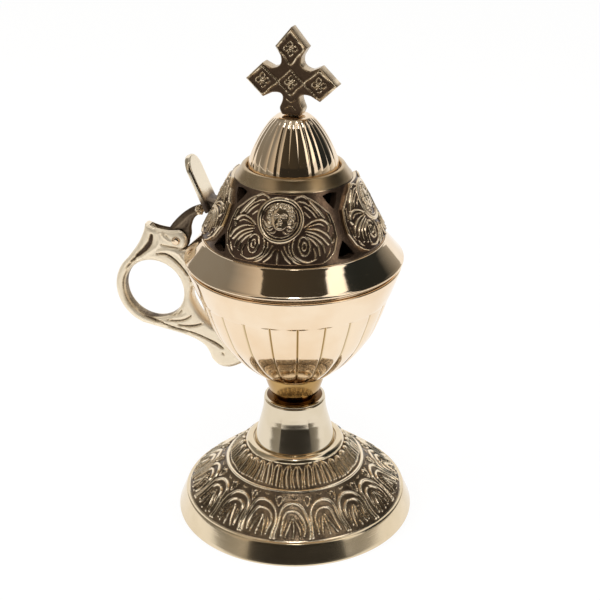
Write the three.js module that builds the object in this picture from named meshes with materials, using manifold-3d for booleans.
// Hand censer: a footed brass bowl for charcoal, with a pierced lid that a thumb plate swings open
// and a cast handle with a ring for one finger. Millimetres, +Z up, the handle towards -X and one
// panel of the lid towards -Y. The origin lies on the plane that the foot stands on, under the
// middle of the whole censer, so the bowl's upright axis stands a little towards +X.
import * as THREE from 'three';
import { mergeVertices } from 'three/addons/utils/BufferGeometryUtils.js';
import Module from 'manifold-3d';

const wasm = await Module();
wasm.setup();

// Driving dimensions
const FIT = 0.3;                  // gap between seated pieces
const FOOT_R = 42;                // foot's rim
const BAND_R = 38.3;              // outer edge of the foot's leaf band
const BAND_TOP_R = 24.4;          // raised line between leaf band and reeds
const FOOT_TOP_R = 17.2;          // plain ring at the top of the foot
const FOOT_TOP_Z = 27;
const NECK_R = 14.35;             // base of the conical neck
const NECK_TOP_R = 10.8;
const NECK_TOP_Z = 42.8;
const COLLAR_TOP_Z = 45.3;
const STEM_R = 9.2;               // short stem under the bowl
const BOWL_Z = 53;                // where the bowl leaves its stem
const FLUTE_TOP_Z = 84.3;         // flutes end under a plain band
const RIM_R = 36.4;
const RIM_Z = 95.2;
const LEDGE_Z = 89.5;             // ledge that carries the pan's flange
const SKIRT_R = 36.8;             // widest line of the lid
const SKIRT_TOP_R = 30.75;
const SKIRT_TOP_Z = 104.2;
const COLLAR_R = 16.7;            // lip round the foot of the cap
const COLLAR_Z = 129;
const CAP_R = 14.7;
const CAP_Z = 127.6;
const CAP_TOP_Z = 145.2;
const CROSS_SPAN = 31;
const CROSS_RISE = 17.4;          // centre of the cross to its top point
const CROSS_DROP = 10.7;          // centre of the cross to its foot
const CROSS_T = 5.4;
const FLUTES = 22;                // round the bowl
const REEDS = 36;                 // round the foot
const LOBES = 24;                 // round the cap
const PANELS = 4;                 // raised panels round the lid
const PANEL_TURN = 5;             // degrees that the lid's pattern stands round from the hinge
const PIN_X = -41;                // hinge pin
const PIN_Z = 98.4;
const PIN_R = 1.1;
const RING_X = -50.1;             // finger ring of the handle
const RING_Z = 79;
const RING_HOLE_R = 10.85;
const RING_OUTER_R = 14.3;
const HANDLE_T = 6;
const SLOT_T = 2.8;               // slot between the handle's two ears
const ARM_T = 2.2;                // hinge arm in that slot
const PLATE_L = 19.6;             // thumb plate
const PLATE_W = 10;
const PLATE_T = 1.9;
const PLATE_TILT = 23;            // degrees from upright
const BOLT_R = 2.5;               // bolt through stem, neck and foot
const STUD_R = 1.5;               // stud that holds cross, cap and lid together
const SCREW_R = 1.5;              // countersunk screws of the handle

const RAD = Math.PI / 180;

// Finishes
const finish = (color, roughness, metalness = 1) =>
  new THREE.MeshStandardMaterial({ color, roughness, metalness });
const polished = () => finish(0xe3c89a, 0.16);
const patinated = () => finish(0x8a744f, 0.42);
const roughCast = () => finish(0xcdb487, 0.45);
const darkCast = () => finish(0x5b4a3c, 0.55);
const steel = () => finish(0xa9a8a3, 0.38);

// Merges shared points, drops flat triangles and turns the faces outwards.
function weld(source) {
  const bare = source.clone();
  bare.deleteAttribute('normal');
  bare.deleteAttribute('uv');
  const geometry = mergeVertices(bare, 1e-4);
  const place = geometry.attributes.position;
  const [a, b, c] = [new THREE.Vector3(), new THREE.Vector3(), new THREE.Vector3()];
  const kept = [];
  let volume = 0;
  for (let i = 0; i < geometry.index.count; i += 3) {
    const [p, q, r] = [0, 1, 2].map((k) => geometry.index.getX(i + k));
    if (p === q || q === r || r === p) continue;
    kept.push([p, q, r]);
    a.fromBufferAttribute(place, p);
    b.fromBufferAttribute(place, q);
    c.fromBufferAttribute(place, r);
    volume += a.dot(b.cross(c));
  }
  geometry.setIndex(kept.flatMap(([p, q, r]) => (volume > 0 ? [p, q, r] : [p, r, q])));
  return geometry;
}

// Joining and cutting
function toSolid(geometry) {
  const welded = weld(geometry);
  return new wasm.Manifold(new wasm.Mesh({
    numProp: 3,
    vertProperties: new Float32Array(welded.attributes.position.array),
    triVerts: new Uint32Array(welded.index.array),
  }));
}

function toGeometry(solid) {
  const mesh = solid.getMesh();
  const geometry = new THREE.BufferGeometry();
  geometry.setAttribute('position', new THREE.BufferAttribute(mesh.vertProperties, 3));
  geometry.setIndex(new THREE.BufferAttribute(mesh.triVerts, 1));
  return geometry;
}

// Turns an outline of [radius, height] points about the upright axis, angle 0 towards -Y. The
// outside points come first; ripple(angle, height) is cut out of those only.
function turn(outside, inside, sides, ripple) {
  const outline = [...outside, ...inside, outside[0]];
  const points = outline.map(([r, z]) => new THREE.Vector2(r, z));
  const geometry = new THREE.LatheGeometry(points, sides).rotateX(Math.PI / 2);
  if (ripple) {
    const place = geometry.attributes.position;
    for (let i = 0; i < place.count; i += 1) {
      const onOutline = i % points.length;
      if (onOutline >= outside.length && onOutline !== points.length - 1) continue;
      const [x, y, z] = [place.getX(i), place.getY(i), place.getZ(i)];
      const r = Math.hypot(x, y);
      const scale = (r - ripple(Math.atan2(x, -y), z)) / r;
      place.setXY(i, x * scale, y * scale);
    }
  }
  return weld(geometry);
}

// The corners of a curved outline, none nearer to the last than the spacing.
function corners(path, divisions, spacing) {
  const kept = [];
  for (const point of path.getPoints(divisions)) {
    const near = [kept.at(-1), kept[0]].some((last) => last && last.distanceTo(point) < spacing);
    if (!near) kept.push(point);
  }
  return kept;
}

// Extrudes an outline drawn in the XZ plane to a plate of the given thickness about Y = 0.
function plate(shape, thickness, bevel, divisions) {
  const spacing = Math.max(0.25, 1.6 * bevel);
  const outline = new THREE.Shape(corners(shape, divisions, spacing));
  outline.holes = shape.holes.map((hole) => new THREE.Path(corners(hole, 13, spacing)));
  const geometry = new THREE.ExtrudeGeometry(outline, {
    depth: thickness - 2 * bevel,
    bevelEnabled: bevel > 0,
    bevelThickness: bevel,
    bevelSize: bevel,
    bevelOffset: -bevel,
    bevelSegments: 1,
  });
  return geometry.rotateX(Math.PI / 2).translate(0, thickness / 2 - bevel, 0);
}

const points2 = (list) => list.map(([x, z]) => new THREE.Vector2(x, z));

// A round bar along the upright axis with an optional head profile, as [radius, height] points.
const rod = (profile, sides = 16) => {
  const points = points2([[0, profile[0][1]], ...profile, [0, profile.at(-1)[1]]]);
  return weld(new THREE.LatheGeometry(points, sides).rotateX(Math.PI / 2));
};

const part = new THREE.Group();
part.position.x = (RING_OUTER_R - RING_X - FOOT_R) / 2;
const base = new THREE.Group();
const pan = new THREE.Group();
const lid = new THREE.Group();
part.add(base, pan, lid);

function add(group, name, geometry, material) {
  const mesh = new THREE.Mesh(geometry, material);
  mesh.name = name;
  group.add(mesh);
  return mesh;
}

// Foot
// A turned casting, hollow underneath: satin rim, sloping leaf band, raised line, a ring of
// upright reeds and a plain seat for the neck.
const FOOT_FLOOR_Z = 22.6;        // underside of the plate that the bolt clamps
const REED_DEPTH = 0.45;
const footOutside = [
  [FOOT_R, 0], [41.7, 0.7], [40.3, 3.6], [39.3, 6.9], [BAND_R, 7.3], [BAND_TOP_R + 0.5, 18],
  [BAND_TOP_R, 18.7], [23.5, 18.8], [22.5, 20], [20.1, 22], [18.2, 24], [FOOT_TOP_R, 25.5],
  [FOOT_TOP_R - 0.3, FOOT_TOP_Z], [14.9, FOOT_TOP_Z], [14.9, 26.4], [BOLT_R + FIT, 26.4],
];
const footHollow = [[38.4, -1], [38.4, 0], [36, 5.6], [22, 16.2], [14.6, FOOT_FLOOR_Z]];
const footBore = [[BOLT_R + FIT, FOOT_FLOOR_Z], [BOLT_R + FIT, 0]];
const reed = (angle, z) => {
  const inReeds = z > 19.5 && z < 24.5;
  return inReeds ? REED_DEPTH * (0.5 + 0.5 * Math.cos(angle * REEDS)) : 0;
};
const footCasting = toSolid(turn(footOutside, footBore, REEDS * 2, reed))
  .subtract(toSolid(rod(footHollow, REEDS)));
add(base, 'foot', toGeometry(footCasting), patinated());

// Neck, collar and stem bolt
const neckOutside = [
  [NECK_R, FOOT_TOP_Z - FIT], [13.5, 30], [12.3, 34], [11.2, 38], [NECK_TOP_R, NECK_TOP_Z],
  [BOLT_R + FIT, NECK_TOP_Z],
];
const neckInside = [[BOLT_R + FIT, 39.8], [9, 39.8], [10.2, 34], [12, FOOT_TOP_Z - FIT]];
add(base, 'foot_neck', turn(neckOutside, neckInside, 36), polished());

const collarOutside = [
  [NECK_TOP_R - 0.2, NECK_TOP_Z + FIT], [9.9, 43.6], [9.3, 44.3], [9, COLLAR_TOP_Z],
];
const collarInside = [[BOLT_R + FIT, COLLAR_TOP_Z], [BOLT_R + FIT, NECK_TOP_Z + FIT]];
add(base, 'neck_collar', turn(collarOutside, collarInside, 36), polished());

const BOWL_FLOOR_Z = 55.4;
const BOLT_END_Z = 16.2;
const WASHER_T = 1;
const NUT_T = 4;
const NUT_R = 4.6;
add(base, 'stem_bolt', rod([
  [BOLT_R, BOLT_END_Z], [BOLT_R, BOWL_FLOOR_Z + 0.1], [4.2, BOWL_FLOOR_Z + 0.1],
  [4.2, BOWL_FLOOR_Z + 1.9], [3.2, BOWL_FLOOR_Z + 2.7],
]), steel());

const ring = (outer, inner, thickness, sides) => turn(
  [[outer, 0], [outer, thickness]], [[inner, thickness], [inner, 0]], sides);

// A nut of six flats: its bore keeps the same number of sides as its outside times three.
function nut(across, bore, thickness) {
  const outside = new THREE.CylinderGeometry(across, across, thickness, 6).rotateX(Math.PI / 2);
  const hole = new THREE.CylinderGeometry(bore, bore, thickness + 2, 18).rotateX(Math.PI / 2);
  return toGeometry(toSolid(outside).subtract(toSolid(hole))).translate(0, 0, thickness / 2);
}

const stemWasher = add(base, 'stem_washer', ring(7, BOLT_R + FIT, WASHER_T, 20), steel());
stemWasher.position.z = FOOT_FLOOR_Z - FIT - WASHER_T;
const stemNut = add(base, 'stem_nut', nut(NUT_R, BOLT_R + FIT, NUT_T), steel());
stemNut.position.z = stemWasher.position.z - FIT - NUT_T;

// Bowl
// One casting with its stem. The flutes are flat panels parted by fine grooves, a little below
// the plain band above them. A ledge inside the rim carries the pan.
const FLUTE_DEPTH = 0.45;
const PANEL_DEPTH = 0.12;
const bowlOutside = [
  [STEM_R, COLLAR_TOP_Z + FIT], [9.35, 48], [9.8, 51.3], [10.5, 52], [11, BOWL_Z + 0.3],
  [15.5, 56], [21.3, 61.7], [27, 69.6], [30.4, 77.6],
  [32.5, FLUTE_TOP_Z - 0.2], [32.8, FLUTE_TOP_Z + 0.3], [35.4, 91.8], [RIM_R, RIM_Z - 0.5],
  [RIM_R - 0.3, RIM_Z],
];
const bowlHollow = [
  [9.8, BOWL_FLOOR_Z], [18.6, 61.8], [24.4, 69.6], [28.1, 77.6], [31.3, LEDGE_Z],
  [33.3, LEDGE_Z], [34.3, RIM_Z], [34.3, RIM_Z + 1],
];
const bowlBore = [[BOLT_R + FIT, RIM_Z], [BOLT_R + FIT, COLLAR_TOP_Z + FIT]];
const flute = (angle, z) => {
  if (z < BOWL_Z + 0.2 || z > FLUTE_TOP_Z) return 0;
  const across = 0.5 + 0.5 * Math.cos(angle * FLUTES);
  return PANEL_DEPTH + (FLUTE_DEPTH - PANEL_DEPTH) * across ** 2;
};
const bowlBody = toSolid(turn(bowlOutside, bowlBore, FLUTES * 3, flute))
  .subtract(toSolid(rod(bowlHollow, FLUTES * 2)));
// The bowl's outside grown by the fit, which shapes the handle's saddle.
const bowlGrown = toSolid(rod(
  bowlOutside.slice(0, -1).map(([r, z]) => [r + FIT + 0.1, z]).concat([[RIM_R + FIT, RIM_Z]]), 66));

// Handle screws: countersunk from inside the bowl, square to its wall, into the handle.
const SCREW_L = 7;
const SCREW_HEAD_R = 2.6;
const SCREW_HEAD_T = 1.5;
const screwProfile = (grow) => [
  [SCREW_R + grow, -SCREW_L - grow], [SCREW_R + grow, -SCREW_HEAD_T - grow],
  [SCREW_HEAD_R + grow, 0], [SCREW_HEAD_R + grow, 0.25 + grow * 3],
];
// Each seat is a point of the bowl's inner wall and the wall's slope there.
const screwSeats = [
  { name: 'handle_screw_upper', x: -30.15, z: 84.6, slope: 19.5 },
  { name: 'handle_screw_lower', x: -18.15, z: 61.4, slope: 44.5 },
];
const screwMatrix = ({ x, z, slope }) => new THREE.Matrix4().compose(
  new THREE.Vector3(x, 0, z),
  new THREE.Quaternion().setFromEuler(new THREE.Euler(0, (90 - slope) * RAD, 0)),
  new THREE.Vector3(1, 1, 1));
const screwHoles = screwSeats.map((seat) =>
  toSolid(rod(screwProfile(FIT), 16).applyMatrix4(screwMatrix(seat))));
const boredBowl = screwHoles.reduce((body, hole) => body.subtract(hole), bowlBody);
add(base, 'bowl', toGeometry(boredBowl), polished());
for (const seat of screwSeats) {
  const screw = add(base, seat.name, rod(screwProfile(0), 16), steel());
  screw.applyMatrix4(screwMatrix(seat));
}

// Handle
// A cast plate with rounded edges: the finger ring, a web that saddles the bowl under its rim,
// a leaf-shaped toe under the bowl and two ears that hold the hinge pin.
const EAR_R = 3.9;
function handleOutline() {
  const shape = new THREE.Shape();
  shape.moveTo(-52.4, 103.2);
  shape.splineThru(points2([[-53.3, 99.9], [-55.6, 95.2], [-59.67, 89.63]]));
  shape.absarc(RING_X, RING_Z, RING_OUTER_R, 132 * RAD, 250 * RAD, false);
  shape.splineThru(points2([
    [-47.9, 64.2], [-38.4, 62.3], [-33, 60], [-30.7, 57.2], [-29.4, 54.2], [-26.8, 52.1],
    [-23.6, 51.8], [-20.4, 53], [-17, 55.2],
  ]));
  shape.lineTo(-15, 58);
  shape.lineTo(-23.5, 66.3);
  shape.splineThru(points2([[-28.4, 67.4], [-32.4, 71.6], [-34.7, 76.6], [-34.6, 80.4]]));
  shape.lineTo(-30, 82);
  shape.lineTo(-33.6, 93.6);
  shape.lineTo(-36.6, 94.2);
  shape.lineTo(-37.5, 95.4);
  shape.absarc(PIN_X, PIN_Z, EAR_R, -22 * RAD, 76 * RAD, false);
  shape.splineThru(points2([[-44.5, 101.7], [-48.4, 102], [-52.4, 103.2]]));
  const hole = new THREE.Path();
  hole.absarc(RING_X, RING_Z, RING_HOLE_R, 0, 2 * Math.PI, true);
  shape.holes.push(hole);
  return shape;
}

// The slot takes the hinge arm's knuckle, and its sloping left side is the stop of the open lid.
function slotOutline() {
  const shape = new THREE.Shape();
  shape.moveTo(-30, 106);
  shape.lineTo(-52.2, 106);
  shape.lineTo(-50.4, 102.2);
  shape.lineTo(-47.4, 97.8);
  shape.absarc(PIN_X, PIN_Z, 5.2, 205 * RAD, 335 * RAD, false);
  shape.lineTo(-30, 96.2);
  return shape;
}

const PIN_PLAY = 0.15;
const pinHole = () => new THREE.CylinderGeometry(PIN_R + PIN_PLAY, PIN_R + PIN_PLAY, 12, 20)
  .translate(PIN_X, 0, PIN_Z);
const handleBody = [bowlGrown, toSolid(plate(slotOutline(), SLOT_T, 0, 6)), toSolid(pinHole()),
  ...screwHoles].reduce((body, cutter) => body.subtract(cutter),
  toSolid(plate(handleOutline(), HANDLE_T, 1, 7)));
add(base, 'handle', toGeometry(handleBody), roughCast());

const HEAD_Y = HANDLE_T / 2 + 0.1;
const hingePin = add(base, 'hinge_pin', rod([
  [0.7, -HEAD_Y - 0.8], [1.5, -HEAD_Y - 0.4], [1.5, -HEAD_Y], [PIN_R, -HEAD_Y],
  [PIN_R, HEAD_Y], [1.5, HEAD_Y], [1.5, HEAD_Y + 0.4], [0.7, HEAD_Y + 0.8],
]), polished());
hingePin.rotation.x = Math.PI / 2;
hingePin.position.set(PIN_X, 0, PIN_Z);

// Charcoal pan
// Thin sheet with a flange that hangs on the bowl's ledge; it lifts out when the lid is open.
const PAN_T = 0.9;
const PAN_Z = LEDGE_Z + FIT;
const panOutside = [
  [0, 76], [20, 76], [24, 77.6], [27.2, 82], [29.6, PAN_Z], [32.7, PAN_Z],
  [32.7, PAN_Z + PAN_T], [29, PAN_Z + PAN_T],
];
const panInside = [[26.4, 82.4], [23.5, 78.4], [19.8, 76 + PAN_T], [0, 76 + PAN_T]];
const panPoints = points2([...panOutside, ...panInside]);
add(pan, 'charcoal_pan',
  weld(new THREE.LatheGeometry(panPoints, 36).rotateX(Math.PI / 2)), darkCast());

// Lid shell
// Polished skirt, openwork cone and collar in one casting. Four raised panels, each with a round
// frame, stand on the cone, and an upper and a lower smoke hole open in each gap between them.
const LIP_Z = RIM_Z + FIT;
const LID_PLATE_Z = 127.3;        // seat of the cap
const coneRadius = (z) => THREE.MathUtils.mapLinear(z, SKIRT_TOP_Z, 125.4, 30.1, 19.2);
const LID_SIDES = 40;
const lidOutside = [
  [36.2, LIP_Z], [SKIRT_R, LIP_Z + 0.5], [SKIRT_R, LIP_Z + 1.2], [34.2, 99.8],
  [SKIRT_TOP_R, SKIRT_TOP_Z], [coneRadius(SKIRT_TOP_Z + 0.2), SKIRT_TOP_Z + 0.2],
  [coneRadius(125.2), 125.2], [18.9, 125.6], [COLLAR_R + 0.3, COLLAR_Z - 0.5],
  [COLLAR_R - 0.1, COLLAR_Z], [15.6, COLLAR_Z], [15.1, LID_PLATE_Z], [STUD_R + FIT, LID_PLATE_Z],
];
const lidInside = [
  [STUD_R + FIT, 125.4], [16.2, 125.4], [28, SKIRT_TOP_Z - 0.4], [33.2, 98.2], [34.4, LIP_Z],
];
const lidCasting = toSolid(turn(lidOutside, lidInside, LID_SIDES));

// A ring of cone between two heights, lying between two offsets from the cone's surface.
const coneBand = (low, high, sink, stand) => toSolid(turn(
  [[coneRadius(low) + stand, low], [coneRadius(high) + stand, high]],
  [[coneRadius(high) - sink, high], [coneRadius(low) - sink, low]], LID_SIDES));

// Extrudes an outline, drawn in the XZ plane, outwards from the axis towards the given angle.
const outwards = (shape, angle, curveSegments = 3) => toSolid(
  new THREE.ExtrudeGeometry(shape, { depth: 40, bevelEnabled: false, curveSegments })
    .rotateX(Math.PI / 2).rotateZ(angle));

// A panel's outline: eight sides, drawn from angles round the cone and heights.
const panelCorners = [
  [17, 124.9], [29, 122.6], [40, 119], [41, 111.8], [36.5, 108], [28, 105.2],
];
const onCone = ([degrees, z]) => [coneRadius(z) * Math.sin(degrees * RAD), z];
const panelShape = new THREE.Shape(points2([
  ...panelCorners.map(onCone),
  ...panelCorners.map(onCone).map(([x, z]) => [-x, z]).reverse(),
]));
const PANEL_STAND = 1.2;
const FRAME_STAND = 0.8;          // round frame, above the panel
const FRAME_Z = 117.7;
const FRAME_R = 7.4;
const FRAME_BORE_R = 5.9;
const frameShape = new THREE.Shape().absarc(0, FRAME_Z, FRAME_R, 0, 2 * Math.PI);
frameShape.holes.push(new THREE.Path().absarc(0, FRAME_Z, FRAME_BORE_R, 0, 2 * Math.PI, true));

// Smoke holes: a rounded triangle point down above, point up below.
function smokeHole(width, low, high, pointUp) {
  const [flat, point] = pointUp ? [low, high] : [high, low];
  const shape = new THREE.Shape();
  shape.moveTo(-width / 2, flat);
  shape.quadraticCurveTo(0, flat + (flat - point) * 0.25, width / 2, flat);
  shape.quadraticCurveTo(width * 0.3, (flat + point) / 2, 0, point);
  shape.quadraticCurveTo(-width * 0.3, (flat + point) / 2, -width / 2, flat);
  return shape;
}

let lidBody = lidCasting;
for (let i = 0; i < PANELS; i += 1) {
  const facing = (PANEL_TURN + (i * 360) / PANELS) * RAD;
  const gap = facing + Math.PI / PANELS;
  const panel = coneBand(105, 125.2, 0.5, PANEL_STAND).intersect(outwards(panelShape, facing));
  const frame = coneBand(109, 125.2, 0, PANEL_STAND + FRAME_STAND)
    .intersect(outwards(frameShape, facing, 7));
  lidBody = lidBody.add(panel).add(frame)
    .subtract(outwards(smokeHole(5.6, 119.8, 124, false), gap))
    .subtract(outwards(smokeHole(6.6, 105.9, 110.6, true), gap));
}
add(lid, 'lid_shell', toGeometry(lidBody), patinated());

// Cap
// A hollow ribbed dome on the lid, its lobes dying out towards the top.
const LOBE_DEPTH = 0.6;
const capOutside = [
  [CAP_R, CAP_Z], [14.9, 129], [14.2, 131.4], [12.6, 135.3], [10.5, 139.2], [7.9, 142.8],
  [5.8, 144.8], [4.6, CAP_TOP_Z], [STUD_R + FIT, CAP_TOP_Z],
];
const capInside = [[STUD_R + FIT, 143.2], [5.6, 143], [10.4, 136], [12.9, CAP_Z]];
const lobe = (angle, z) => {
  const strength = THREE.MathUtils.smoothstep(CAP_TOP_Z - 0.4 - z, 0, 7);
  return z < 128 ? 0 : LOBE_DEPTH * strength * (0.5 + 0.5 * Math.cos(angle * LOBES)) ** 2;
};
add(lid, 'lid_cap', turn(capOutside, capInside, LOBES * 2, lobe), polished());

// Cross
// Lozenge-ended arms with hollowed notches between them, on a short waisted foot that the stud
// screws into. Drawn about its own centre, mirrored about its upright line.
function crossOutline() {
  const half = CROSS_SPAN / 2;
  const side = [
    ['move', 0, CROSS_RISE], ['line', 5.3, 11.2], ['line', 3.5, 8.3],
    ['curve', 2.4, 4.6, 6.6, 4.1], ['line', half - 5.8, 5.5], ['line', half, 0],
    ['line', half - 5.8, -5.5], ['line', 6.6, -3.9], ['curve', 2.5, -3, 2.9, -5.6],
    ['curve', 3.3, -7, 3.9, -8.2], ['curve', 4.1, -9.4, 3, -CROSS_DROP],
  ];
  const shape = new THREE.Shape();
  for (const [kind, ...at] of side) {
    if (kind === 'move') shape.moveTo(...at);
    if (kind === 'line') shape.lineTo(...at);
    if (kind === 'curve') shape.quadraticCurveTo(...at);
  }
  shape.lineTo(-3, -CROSS_DROP);
  for (let i = side.length - 1; i > 0; i -= 1) {
    const [kind, ...at] = side[i];
    const [x, z] = side[i - 1].slice(-2);
    if (kind === 'line') shape.lineTo(-x, z);
    if (kind === 'curve') shape.quadraticCurveTo(-at[0], at[1], -x, z);
  }
  return shape;
}
const CROSS_Z = CAP_TOP_Z + FIT + CROSS_DROP;
const studHole = (depth) => new THREE.CylinderGeometry(STUD_R + FIT, STUD_R + FIT, 2 * depth, 16)
  .rotateX(Math.PI / 2).translate(0, 0, -CROSS_DROP);
const cross = add(lid, 'cross_finial', toGeometry(
  toSolid(plate(crossOutline(), CROSS_T, 0.8, 5)).subtract(toSolid(studHole(5)))), patinated());
cross.position.z = CROSS_Z;
cross.rotation.z = -6 * RAD;      // the cross stands a little round from the hinge too

const STUD_LOW_Z = 120.6;
add(lid, 'lid_stud', rod([[STUD_R, STUD_LOW_Z], [STUD_R, CAP_TOP_Z + FIT + 4.4]], 16), steel());
const lidWasher = add(lid, 'lid_washer', ring(4.5, STUD_R + FIT, 0.8, 16), steel());
lidWasher.position.z = 125.4 - FIT - 0.8;
const lidNut = add(lid, 'lid_nut', nut(3.2, STUD_R + FIT, 2.4), steel());
lidNut.position.z = lidWasher.position.z - FIT - 2.4;

// Hinge arm and thumb plate
// The arm is a rough curved casting with its knuckle on the pin; the plate stands on the lid,
// brazed to the arm's end, and the thumb tips it back to open the lid.
function armOutline() {
  const shape = new THREE.Shape();
  shape.absarc(PIN_X, PIN_Z, 4.2, 175 * RAD, 360 * RAD, false);
  shape.splineThru(points2([[-36.1, 100.6], [-36, 103.6], [-34.6, 106.8], [-31.2, 109.2]]));
  shape.lineTo(-30.6, 112.3);
  shape.splineThru(points2([[-35, 110.6], [-38.9, 107.9], [-42.3, 104.4], [-44.3, 101.4]]));
  return shape;
}
const LID_CLEAR = PANEL_STAND + FRAME_STAND + FIT;
const lidGrown = toSolid(rod([
  [SKIRT_R + FIT, LIP_Z], [SKIRT_R + FIT, LIP_Z + 1.2], [SKIRT_TOP_R + FIT + 0.3, SKIRT_TOP_Z],
  [coneRadius(105) + LID_CLEAR, 105], [coneRadius(125.2) + LID_CLEAR, 125.2],
], LID_SIDES));
const barShape = new THREE.Shape();
barShape.moveTo(-PLATE_W / 2, 0);
barShape.lineTo(PLATE_W / 2, 0);
barShape.lineTo(PLATE_W / 2, PLATE_L - PLATE_W / 2);
barShape.absarc(0, PLATE_L - PLATE_W / 2, PLATE_W / 2, 0, Math.PI, false);
const PLATE_ROOT_X = -28.5;
const PLATE_ROOT_Z = 110.6;
const bar = plate(barShape, PLATE_T, 0.3, 8).rotateZ(Math.PI / 2)
  .rotateY(-PLATE_TILT * RAD).translate(PLATE_ROOT_X, 0, PLATE_ROOT_Z);
const rootShape = new THREE.Shape(points2([
  [PLATE_ROOT_X + 0.2, PLATE_ROOT_Z + 0.3], [-22, 110.6], [-22, 115.2],
  [PLATE_ROOT_X - 1.2, PLATE_ROOT_Z + 4.4],
]));
const plateBody = toSolid(bar).add(toSolid(plate(rootShape, 7, 0, 1))).subtract(lidGrown);
add(lid, 'thumb_plate', toGeometry(plateBody), polished());

const beadAt = [-31.7, -1.3, 110.4];
const bead = new THREE.SphereGeometry(1.5, 10, 8).translate(...beadAt);
const plateGrown = toSolid(plate(barShape, PLATE_T + 2 * FIT, 0, 8).rotateZ(Math.PI / 2)
  .rotateY(-PLATE_TILT * RAD).translate(PLATE_ROOT_X, 0, PLATE_ROOT_Z - FIT));
const armBody = toSolid(plate(armOutline(), ARM_T, 0.3, 4)).add(toSolid(bead))
  .subtract(toSolid(pinHole())).subtract(plateGrown).subtract(lidGrown);
add(lid, 'hinge_arm', toGeometry(armBody), darkCast());

export default part;
